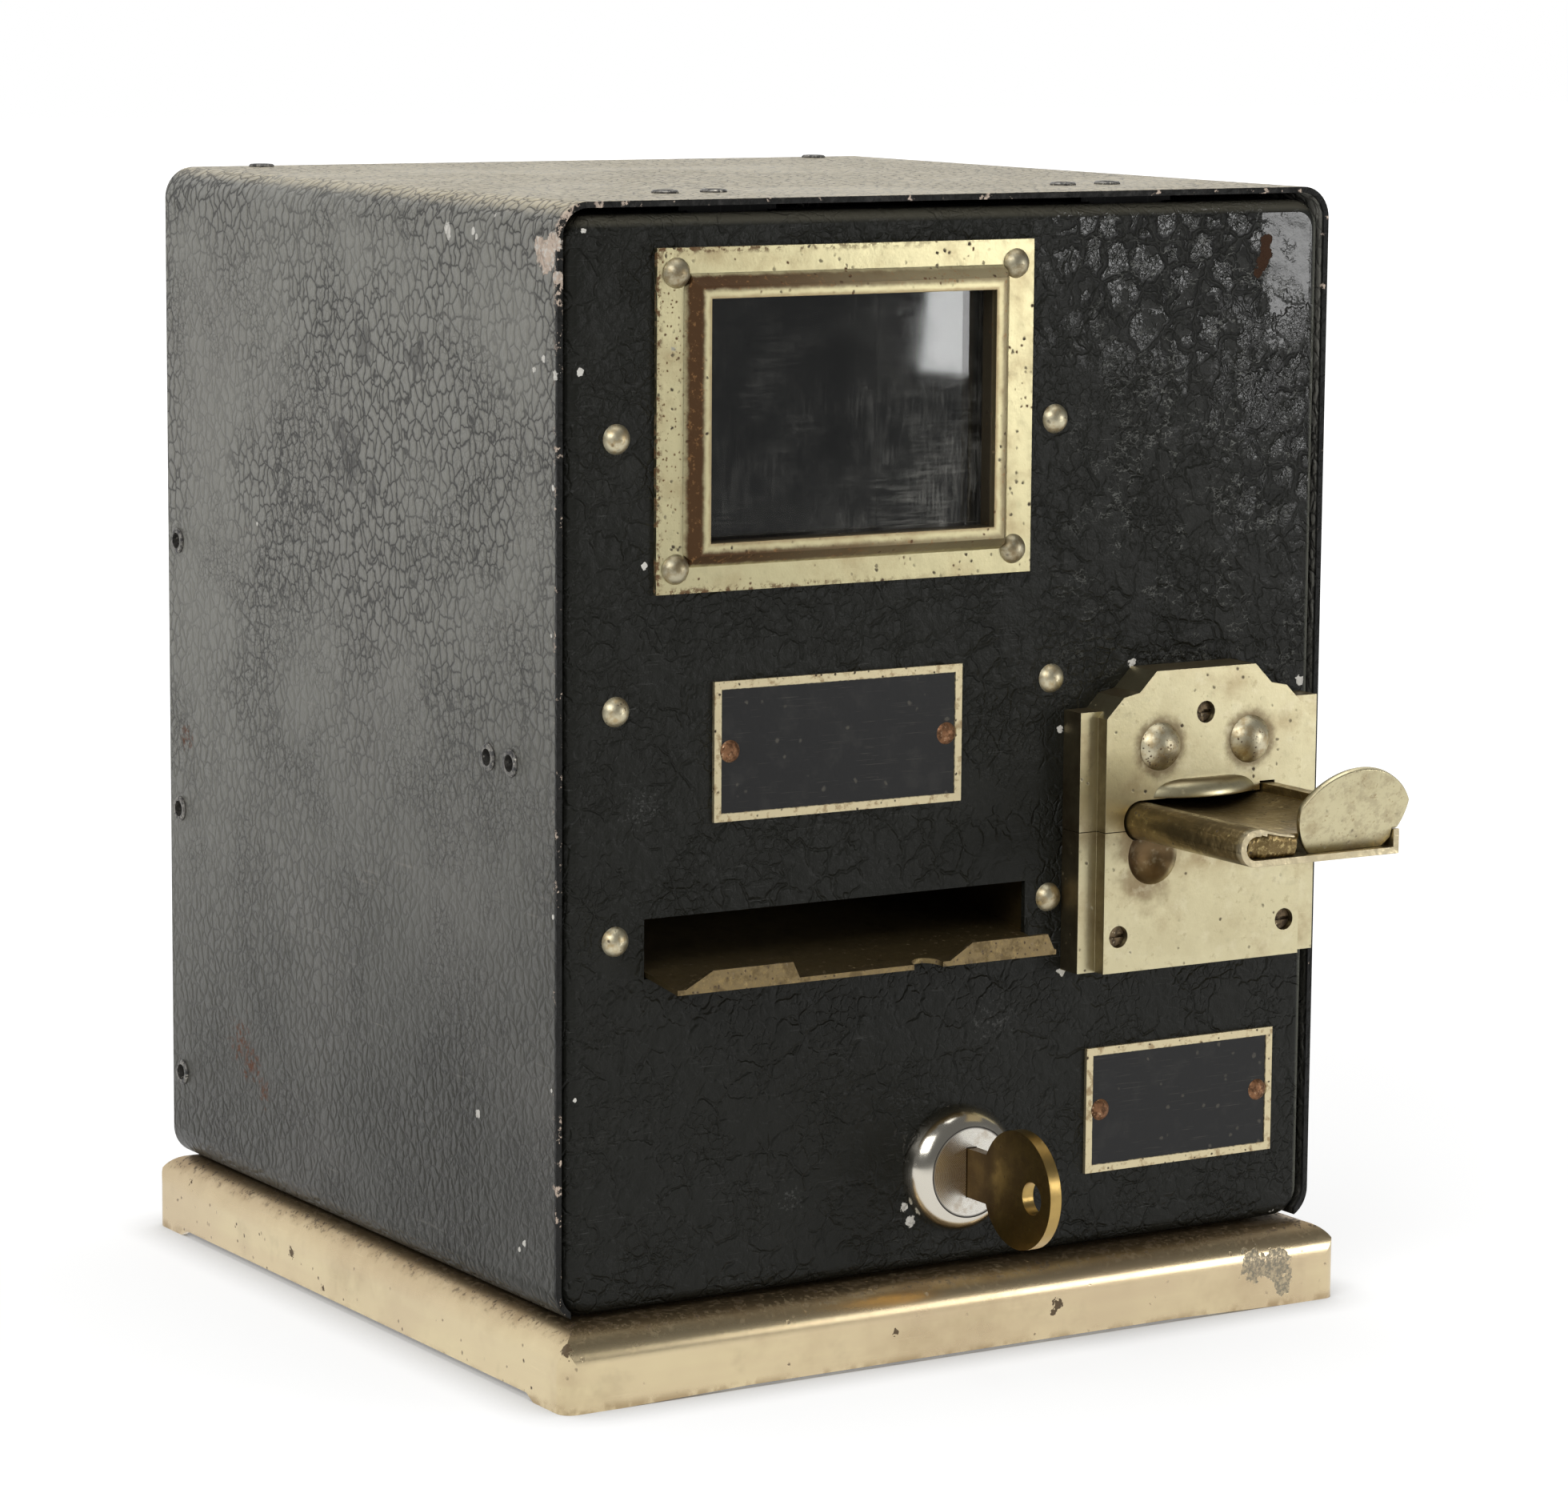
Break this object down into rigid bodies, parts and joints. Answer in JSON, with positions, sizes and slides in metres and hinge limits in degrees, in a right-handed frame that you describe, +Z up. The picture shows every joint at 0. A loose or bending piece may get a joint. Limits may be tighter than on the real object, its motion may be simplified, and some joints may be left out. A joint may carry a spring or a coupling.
{
  "type": "counter-top cigarette vending machine",
  "caption": "Counter-top vendor of single cigarettes: crackle-painted sheet cabinet on a plated base, top-hinged door with window, delivery tray, coin slide and keyed lock.",
  "frame": {"origin": "middle of the underside, on the counter", "axes": "+X to the right seen from the front, the front faces -Y, +Z up"},
  "size_m": [0.186, 0.2273, 0.2326],
  "materials": {
    "crackle_paint": "grey-black crackle paint, worn and chipped at the edges",
    "door_paint": "black crackle paint, blistered towards the top right",
    "base_nickel": "warm old nickel plate with tarnish and dark specks",
    "frame_nickel": "worn nickel over brass with rust specks in the groove",
    "head_nickel": "warm nickel plate, tarnished",
    "fastener_nickel": "nickel-plated domes with dark spots",
    "aged_bronze": "aged bronze with lighter rubbed edges",
    "plate_black": "black field with a cream border",
    "copper_rivet": "copper-brown, dull",
    "eyelet_dark": "painted over, worn on the ring",
    "window_glass": "clear, smudged",
    "lock_chrome": "polished",
    "plug_nickel": "fine turned face, scratched",
    "key_brass": "dark face, bright worn rim",
    "plain_steel": "bare sheet and bar, grey",
    "bush_brass": "turned, dull",
    "hopper_black": "thin black japan, dusty",
    "drum_alloy": "turned and fluted",
    "board_fibre": "brown fibreboard"
  },
  "bodies": {
    "cabinet": {"base_pan": "base_nickel", "base_board": "board_fibre", "base_bolts": "plain_steel", "base_nuts": "plain_steel", "cabinet_wrap": "crackle_paint", "back_panel": "crackle_paint", "back_eyelets": "eyelet_dark", "stop_bracket_left": "plain_steel", "stop_bracket_right": "plain_steel", "stop_eyelets": "eyelet_dark", "hinge_leaf_left": "plain_steel", "hinge_leaf_right": "plain_steel", "hinge_eyelets": "eyelet_dark", "lock_strike": "plain_steel", "cash_box": "plain_steel"},
    "door": {"door_pan": "door_paint", "door_hinge_left": "plain_steel", "door_hinge_right": "plain_steel", "hinge_pins": "plain_steel", "window_frame": "frame_nickel", "window_glass": "window_glass", "glass_retainer": "plain_steel", "frame_screws": "fastener_nickel", "frame_nuts": "plain_steel", "price_plate": "plate_black", "price_rivets": "copper_rivet", "maker_plate": "plate_black", "maker_rivets": "copper_rivet", "chassis_rivets": "fastener_nickel", "hopper_left": "hopper_black", "hopper_right": "hopper_black", "hopper_back": "hopper_black", "hopper_floor": "hopper_black", "delivery_tray": "aged_bronze", "coin_head_upper": "head_nickel", "coin_head_lower": "head_nickel", "coin_rivets": "fastener_nickel", "coin_screws": "fastener_nickel", "head_clamp": "plain_steel", "rack_guide": "plain_steel", "return_spring": "plain_steel", "coin_chute": "plain_steel", "lock_barrel": "lock_chrome", "lock_nut": "plain_steel", "drum_bush_left": "bush_brass", "drum_bush_right": "bush_brass"},
    "coin_slide": {"coin_slide": "aged_bronze", "thumb_tab": "head_nickel", "drive_rack": "plain_steel"},
    "drum": {"vend_drum": "drum_alloy", "drum_shaft": "plain_steel", "drive_pinion": "bush_brass"},
    "lock_plug": {"lock_plug": "plug_nickel", "lock_cam": "plain_steel", "cam_nut": "plain_steel"},
    "key": {"key": "key_brass"}
  },
  "joints": [
    {"name": "door_hinge", "type": "hinge", "parent": "cabinet", "child": "door", "pos_m": [0, -0.08025, 0.2258], "axis": [-1, 0, 0], "range_deg": [0, 90]},
    {"name": "coin_slide_push", "type": "slide", "parent": "door", "child": "coin_slide", "axis": [0, 1, 0], "range_m": [0, 0.0314], "stiffness_N_per_m": 80, "springref_m": -0.015, "deforming": ["return_spring"]},
    {"name": "drum_spin", "type": "hinge", "parent": "door", "child": "drum", "pos_m": [-0.0268, -0.03775, 0.114], "axis": [1, 0, 0], "range_deg": [0, 180]},
    {"name": "lock_turn", "type": "hinge", "parent": "door", "child": "lock_plug", "pos_m": [0.0018, -0.08375, 0.0369], "axis": [0, 1, 0], "range_deg": [0, 90]},
    {"name": "key_pull", "type": "slide", "parent": "lock_plug", "child": "key", "axis": [0, -1, 0], "range_m": [0, 0.026]}
  ],
  "couplings": [
    {"joint": "drum_spin", "follows": "coin_slide_push", "rad_per_m": 100}
  ]
}
